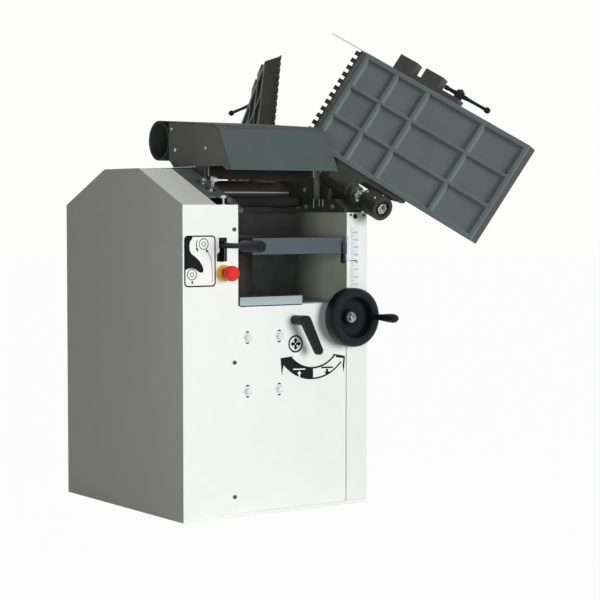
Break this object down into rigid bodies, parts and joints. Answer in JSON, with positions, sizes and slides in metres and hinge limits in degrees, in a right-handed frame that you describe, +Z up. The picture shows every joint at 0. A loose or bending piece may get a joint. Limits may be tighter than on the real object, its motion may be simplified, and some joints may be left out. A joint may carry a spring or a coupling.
{
  "type": "combination planer thicknesser",
  "caption": "Floor-standing planer thicknesser with folding planing tables over a rising thicknessing bed, chip hood, handwheel, levers and emergency stop.",
  "frame": {"origin": "on the floor under the middle of the cabinet", "axes": "+X to the operator's right, +Y from the operator to the back, +Z up"},
  "size_m": [0.8648, 1.3925, 1.2937],
  "materials": {
    "white_paint": "satin powder coat",
    "grey_paint": "satin",
    "dark_paint": "fine texture",
    "dark_casting": "painted casting",
    "table_paint": "painted underside, ground top",
    "bed_iron": "ground",
    "bright_steel": "machined",
    "pulley_alloy": "turned",
    "belt_rubber": "matt",
    "black_plastic": "moulded",
    "stop_yellow": "moulded",
    "stop_red": "moulded",
    "scale_white": "printed film",
    "clear_plastic": "clear moulding"
  },
  "bodies": {
    "frame": {"base_plinth": "white_paint", "drive_cover": "white_paint", "front_panel": "white_paint", "rear_panel": "white_paint", "right_cover": "white_paint", "right_wall": "grey_paint", "left_wall": "dark_paint", "head_roof": "dark_paint", "motor_housing": "dark_paint", "left_head": "dark_casting", "right_head": "dark_casting", "lift_pillar": "dark_casting", "stub_bearings": "dark_casting", "cover_screws": "bright_steel", "head_studs": "bright_steel", "head_bearings": "bright_steel", "motor_bolts": "bright_steel", "lever_pivot_pin": "bright_steel", "hinge_pins": "bright_steel", "hinge_nuts": "bright_steel", "chip_tray": "bright_steel", "feed_chain": "bright_steel", "lift_chain": "bright_steel", "drive_belt": "belt_rubber", "hinge_caps": "black_plastic", "lever_gate": "black_plastic", "estop_collar": "stop_yellow", "thickness_scale": "scale_white"},
    "front_table": {"front_table": "table_paint", "front_lip": "table_paint", "front_hinge_arm": "dark_casting", "front_lock_bracket": "dark_casting", "front_side_strip": "bright_steel"},
    "front_clamp": {"front_clamp_lever": "black_plastic"},
    "rear_table": {"rear_table": "table_paint", "rear_lip": "table_paint", "rear_hinge_arm": "dark_casting", "rear_lock_bracket": "dark_casting"},
    "rear_clamp": {"rear_clamp_lever": "black_plastic"},
    "hood": {"hood_sheet": "dark_paint", "hood_ends": "dark_paint", "hood_port": "dark_paint"},
    "cutterblock": {"cutterblock": "bright_steel", "cutter_knives": "bright_steel", "cutter_pulley": "pulley_alloy"},
    "motor_rotor": {"motor_shaft": "bright_steel", "motor_pulley": "pulley_alloy"},
    "front_roller": {"front_roller": "bright_steel"},
    "rear_roller": {"rear_roller": "bright_steel"},
    "bed": {"bed_table": "bed_iron", "bed_column": "bright_steel", "bed_pointer": "clear_plastic"},
    "lift_screw": {"lift_screw": "bright_steel"},
    "lift_stub": {"lift_stub_shaft": "bright_steel"},
    "handwheel": {"handwheel": "black_plastic", "handwheel_shaft": "bright_steel"},
    "crank": {"crank_handle": "black_plastic"},
    "feed_lever": {"feed_lever": "black_plastic"},
    "lock_lever": {"lock_lever": "black_plastic"},
    "estop_button": {"estop_button": "stop_red"}
  },
  "joints": [
    {"name": "front_table_fold", "type": "hinge", "parent": "frame", "child": "front_table", "pos_m": [0.281, -0.162, 0.8852], "axis": [0, 0.9371, 0.3491], "range_deg": [-115.4, 0]},
    {"name": "rear_table_fold", "type": "hinge", "parent": "frame", "child": "rear_table", "pos_m": [0.281, 0.162, 0.8852], "axis": [0, 0.9371, -0.3491], "range_deg": [-109, 0]},
    {"name": "hood_slide", "type": "slide", "parent": "frame", "child": "hood", "axis": [-1, 0, 0], "range_m": [0, 0.421]},
    {"name": "front_clamp_turn", "type": "hinge", "parent": "front_table", "child": "front_clamp", "pos_m": [0.48291, -0.46998, 1.10561], "axis": [-0.4289, 0.3153, -0.8465], "range_deg": [-45, 45]},
    {"name": "rear_clamp_turn", "type": "hinge", "parent": "rear_table", "child": "rear_clamp", "pos_m": [0.44665, 0.47715, 1.12487], "axis": [-0.3256, -0.33, -0.886], "range_deg": [-10, 80]},
    {"name": "cutterblock_spin", "type": "hinge", "parent": "frame", "child": "cutterblock", "pos_m": [0, 0, 0.841], "axis": [1, 0, 0], "continuous": true},
    {"name": "motor_spin", "type": "hinge", "parent": "frame", "child": "motor_rotor", "pos_m": [0, -0.212, 0.396], "axis": [1, 0, 0], "continuous": true},
    {"name": "front_roller_spin", "type": "hinge", "parent": "frame", "child": "front_roller", "pos_m": [0, -0.075, 0.819], "axis": [1, 0, 0], "continuous": true},
    {"name": "rear_roller_spin", "type": "hinge", "parent": "frame", "child": "rear_roller", "pos_m": [0, 0.075, 0.819], "axis": [1, 0, 0], "continuous": true},
    {"name": "handwheel_turn", "type": "hinge", "parent": "frame", "child": "handwheel", "pos_m": [0.213, -0.308, 0.51], "axis": [0, 1, 0], "range_deg": [-3530, 2810]},
    {"name": "bed_lift", "type": "slide", "parent": "frame", "child": "bed", "axis": [0, 0, 1], "range_m": [-0.098, 0.078]},
    {"name": "stub_turn", "type": "hinge", "parent": "frame", "child": "lift_stub", "pos_m": [0.213, -0.262, 0.3], "axis": [0, 0, 1], "range_deg": [-2820, 3540]},
    {"name": "screw_turn", "type": "hinge", "parent": "frame", "child": "lift_screw", "pos_m": [0.078, 0, 0.3], "axis": [0, 0, 1], "range_deg": [-2820, 3540]},
    {"name": "crank_spin", "type": "hinge", "parent": "handwheel", "child": "crank", "pos_m": [0.273, -0.376, 0.51], "axis": [0, 1, 0], "continuous": true},
    {"name": "feed_lever_swing", "type": "hinge", "parent": "frame", "child": "feed_lever", "pos_m": [-0.175, -0.13, 0.706], "axis": [1, 0, 0], "range_deg": [0, 9]},
    {"name": "lock_lever_turn", "type": "hinge", "parent": "frame", "child": "lock_lever", "pos_m": [0.054, -0.308, 0.507], "axis": [0, 1, 0], "range_deg": [0, 54]},
    {"name": "estop_press", "type": "slide", "parent": "frame", "child": "estop_button", "axis": [0, 1, 0], "range_m": [0, 0.005], "stiffness_N_per_m": 2000}
  ],
  "couplings": [
    {"joint": "rear_table_fold", "follows": "front_table_fold", "ratio": 0.94454},
    {"joint": "hood_slide", "follows": "front_table_fold", "m_per_rad": -0.20853},
    {"joint": "motor_spin", "follows": "cutterblock_spin", "ratio": 0.7},
    {"joint": "rear_roller_spin", "follows": "front_roller_spin", "ratio": 1},
    {"joint": "handwheel_turn", "follows": "bed_lift", "rad_per_m": 628.32},
    {"joint": "stub_turn", "follows": "bed_lift", "rad_per_m": -628.32},
    {"joint": "screw_turn", "follows": "bed_lift", "rad_per_m": -628.32}
  ]
}
